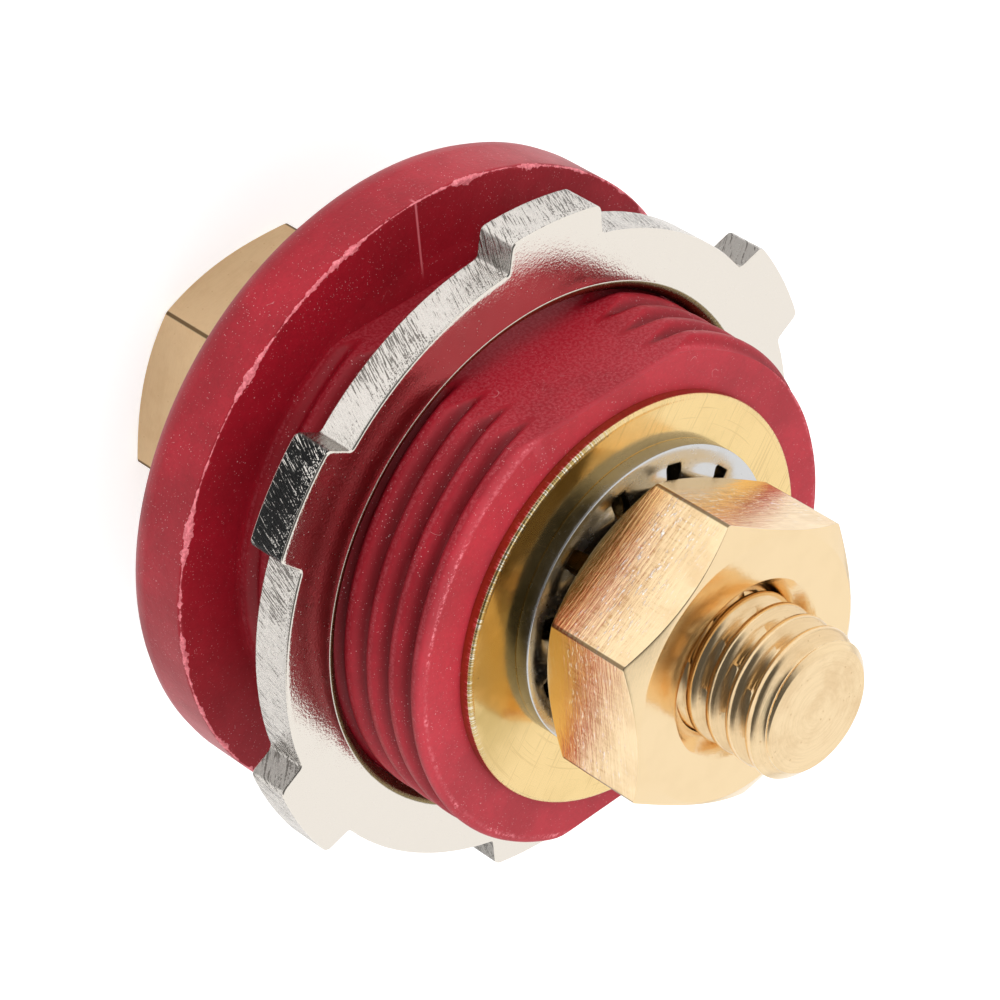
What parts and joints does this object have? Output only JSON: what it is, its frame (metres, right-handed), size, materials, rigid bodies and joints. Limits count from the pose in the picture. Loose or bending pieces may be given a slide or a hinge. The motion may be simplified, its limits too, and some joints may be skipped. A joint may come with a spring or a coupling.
{
  "type": "binding post",
  "caption": "Panel-mount binding post: brass stud bolt through a moulded double-D insulator, held by a lobed locknut and closed by washers and a hex nut.",
  "frame": {"origin": "centre of the hex head's end face, on which the post stands", "axes": "+Z along the bolt from its head to its stud; X along the two flats of the barrel, which face +Y and -Y"},
  "size_m": [0.0442, 0.0454, 0.0507],
  "materials": {
    "moulded_insulator": "matte red moulding with a dusty surface, scuffed edges and a torn flash line",
    "turned_brass": "turned brass, bright thread crests and fine machining marks",
    "nickel_plate": "nickel-plated stamped steel: polished faces and sheared edges with diagonal striations",
    "washer_brass": "stamped brass with a rolled edge and fine scratches",
    "spring_steel": "bright steel with darker teeth",
    "nut_brass": "brass with milled flats and a turned face"
  },
  "bodies": {
    "post": {"insulator": "moulded_insulator", "stud_bolt": "turned_brass", "flat_washer": "washer_brass"},
    "locknut": {"locknut": "nickel_plate"},
    "lock_washer": {"lock_washer": "spring_steel"},
    "hex_nut": {"hex_nut": "nut_brass"}
  },
  "joints": [
    {"name": "locknut_travel", "type": "slide", "parent": "post", "child": "locknut", "axis": [0, 0, 1], "range_m": [-0.00625, 0.0068]},
    {"name": "washer_rise", "type": "slide", "parent": "post", "child": "lock_washer", "axis": [0, 0, 1], "range_m": [0, 0.0056]},
    {"name": "nut_turn", "type": "hinge", "parent": "lock_washer", "child": "hex_nut", "pos_m": [0, 0, 0.0412], "axis": [0, 0, 1], "range_deg": [0, 1260]}
  ],
  "couplings": [
    {"joint": "washer_rise", "follows": "nut_turn", "m_per_rad": 0.00025266}
  ]
}
